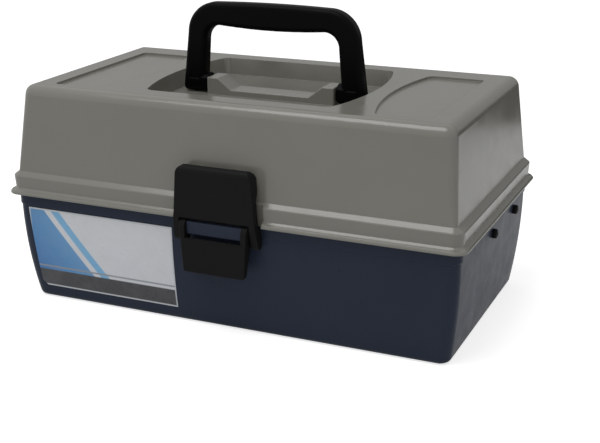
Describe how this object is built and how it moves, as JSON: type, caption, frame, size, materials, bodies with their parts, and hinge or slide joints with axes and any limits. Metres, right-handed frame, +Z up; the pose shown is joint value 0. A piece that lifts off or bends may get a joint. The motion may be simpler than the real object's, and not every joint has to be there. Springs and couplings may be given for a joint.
{
  "type": "cantilever tackle box",
  "caption": "Lidded tackle box with a folding carrying handle, a front latch and two level trays that swing back on side arms as the lid opens.",
  "frame": {"origin": "centre of the base's flat underside, on the floor", "axes": "+X along the length, to the right for someone facing the latch; +Y from the latch towards the rear hinges; +Z up"},
  "size_m": [0.382, 0.2257, 0.2379],
  "materials": {
    "base_plastic": "moulded, fine satin grain",
    "lid_plastic": "moulded, fine satin grain",
    "black_plastic": "moulded, satin",
    "tray_plastic": "moulded, satin",
    "divider_plastic": "moulded, satin",
    "white_nylon": "plain",
    "arm_metal": "stamped strip, brushed",
    "steel": "drawn wire, bright zinc",
    "label_film": "printed film in plain colour blocks"
  },
  "bodies": {
    "base": {"base_shell": "base_plastic", "base_label": "label_film", "base_pivot_pins": "black_plastic", "base_pivot_caps": "black_plastic", "hinge_rods": "steel"},
    "lid": {"lid_shell": "lid_plastic", "lid_drive_pins": "steel", "latch_cover_pin": "steel", "handle_pins": "steel"},
    "handle": {"handle": "black_plastic"},
    "latch_cover": {"latch_cover": "black_plastic", "latch_lever_pins": "steel"},
    "latch_lever": {"latch_lever": "black_plastic"},
    "front_arms": {"front_arm_left": "arm_metal", "front_arm_right": "arm_metal"},
    "rear_arms": {"rear_arm_left": "arm_metal", "rear_arm_right": "arm_metal"},
    "lower_tray": {"lower_tray": "tray_plastic", "lower_tray_pins": "steel", "lower_tray_washers": "white_nylon", "lower_tray_dividers": "divider_plastic", "slide_eye_left": "white_nylon", "slide_eye_right": "white_nylon", "slide_eye_rivets": "steel"},
    "upper_tray": {"upper_tray": "tray_plastic", "upper_tray_pins": "steel", "upper_tray_washers": "white_nylon", "upper_tray_dividers": "divider_plastic"}
  },
  "joints": [
    {"name": "lid_hinge", "type": "hinge", "parent": "base", "child": "lid", "pos_m": [0, 0.1095, 0.0925], "axis": [-1, 0, 0], "range_deg": [0, 105]},
    {"name": "handle_fold", "type": "hinge", "parent": "lid", "child": "handle", "pos_m": [0, 0, 0.1718], "axis": [1, 0, 0], "range_deg": [-90, 90]},
    {"name": "latch_cover_swing", "type": "hinge", "parent": "lid", "child": "latch_cover", "pos_m": [0, -0.1043, 0.1284], "axis": [-1, 0, 0], "range_deg": [0, 32]},
    {"name": "latch_lever_swing", "type": "hinge", "parent": "latch_cover", "child": "latch_lever", "pos_m": [0, -0.1043, 0.0854], "axis": [-1, 0, 0], "range_deg": [0, 75]},
    {"name": "front_arm_swing", "type": "hinge", "parent": "base", "child": "front_arms", "pos_m": [0, -0.005, 0.075], "axis": [-1, 0, 0], "range_deg": [0, 63]},
    {"name": "rear_arm_swing", "type": "hinge", "parent": "base", "child": "rear_arms", "pos_m": [0, 0.058, 0.075], "axis": [-1, 0, 0], "range_deg": [0, 63]},
    {"name": "lower_tray_level", "type": "hinge", "parent": "front_arms", "child": "lower_tray", "pos_m": [0, -0.03391, 0.112], "axis": [-1, 0, 0], "range_deg": [-63, 0]},
    {"name": "upper_tray_level", "type": "hinge", "parent": "front_arms", "child": "upper_tray", "pos_m": [0, -0.05735, 0.142], "axis": [-1, 0, 0], "range_deg": [-63, 0]}
  ],
  "couplings": [
    {"joint": "front_arm_swing", "follows": "lid_hinge", "ratio": 0.6},
    {"joint": "rear_arm_swing", "follows": "lid_hinge", "ratio": 0.6},
    {"joint": "lower_tray_level", "follows": "lid_hinge", "ratio": -0.6},
    {"joint": "upper_tray_level", "follows": "lid_hinge", "ratio": -0.6}
  ]
}
